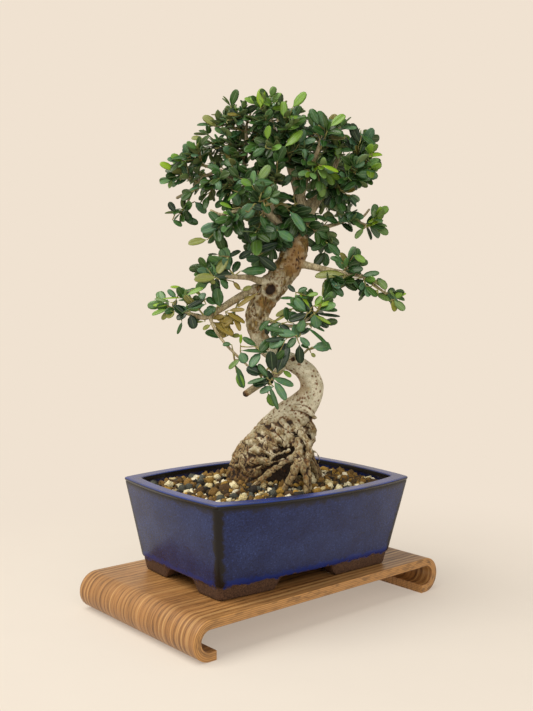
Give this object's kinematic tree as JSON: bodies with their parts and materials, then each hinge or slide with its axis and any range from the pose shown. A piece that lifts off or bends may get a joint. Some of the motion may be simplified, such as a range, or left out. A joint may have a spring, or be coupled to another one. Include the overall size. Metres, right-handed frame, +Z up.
{
  "type": "bonsai tree in pot",
  "caption": "Olive bonsai with a bent, knobbly trunk and small dark green leaves, in a blue glazed pot with gravelly soil, on a wooden stand with rolled ends.",
  "frame": {"origin": "on the ground under the middle of the stand", "axes": "+Z up, +X along the stand's length, +Y across it; the tree's front is seen from the -X -Y side, 42 degrees left of the stand's long side"},
  "size_m": [0.229, 0.1477, 0.3666],
  "materials": {
    "walnut_plywood": "satin oiled",
    "glazed_stoneware": "semi-gloss mottled glaze, bare clay feet",
    "black_plastic_mesh": "moulded matte",
    "aluminium_wire": "brown anodised",
    "bonsai_soil": "rough baked clay and pumice grains",
    "olive_bark": "rough bark",
    "olive_leaf": "leathery, slightly glossy"
  },
  "bodies": {
    "root": {"stand": "walnut_plywood", "pot": "glazed_stoneware", "drainage_screen_left": "black_plastic_mesh", "drainage_screen_right": "black_plastic_mesh", "screen_wire_left": "aluminium_wire", "screen_wire_right": "aluminium_wire", "soil": "bonsai_soil", "trunk": "olive_bark", "spray_top_centre": "olive_leaf", "spray_top_left": "olive_leaf", "spray_top_far_left": "olive_leaf", "spray_high_left": "olive_leaf", "spray_top_right": "olive_leaf", "spray_left_end_high": "olive_leaf", "spray_left_end": "olive_leaf", "spray_left_end_low": "olive_leaf", "spray_left_fork_front": "olive_leaf", "spray_left_fork_middle": "olive_leaf", "spray_left_limb_outer": "olive_leaf", "spray_left_limb_end": "olive_leaf", "spray_left_limb_inner": "olive_leaf", "spray_front_low": "olive_leaf", "spray_front_leader": "olive_leaf", "spray_front_left": "olive_leaf", "spray_front_high": "olive_leaf", "spray_front_high_left": "olive_leaf", "spray_front_right": "olive_leaf", "spray_high_right": "olive_leaf", "spray_right_end_high": "olive_leaf", "spray_right_end": "olive_leaf", "spray_right_end_front": "olive_leaf", "spray_right_fork_front": "olive_leaf", "spray_right_fork_high": "olive_leaf", "spray_right_arm_end": "olive_leaf", "spray_right_arm_top": "olive_leaf", "spray_right_arm_front": "olive_leaf", "spray_right_low_top": "olive_leaf", "spray_right_low_under": "olive_leaf", "spray_right_low_outer": "olive_leaf", "spray_right_low_end": "olive_leaf", "spray_left_low_end": "olive_leaf", "spray_left_low_riser": "olive_leaf", "spray_left_low_outer": "olive_leaf", "spray_left_low_top": "olive_leaf", "spray_left_low_under": "olive_leaf", "spray_left_upper_end": "olive_leaf", "spray_left_upper_top": "olive_leaf", "spray_hanging_outer": "olive_leaf", "spray_hanging_end": "olive_leaf", "spray_hanging_top": "olive_leaf", "spray_mid_end": "olive_leaf", "spray_mid_riser": "olive_leaf", "spray_mid_right": "olive_leaf", "spray_mid_front": "olive_leaf", "spray_knot_end": "olive_leaf", "spray_back_left_high": "olive_leaf", "spray_back_left_low": "olive_leaf", "spray_back_right_high": "olive_leaf", "spray_back_right_low": "olive_leaf", "spray_back_top": "olive_leaf"}
  },
  "joints": []
}
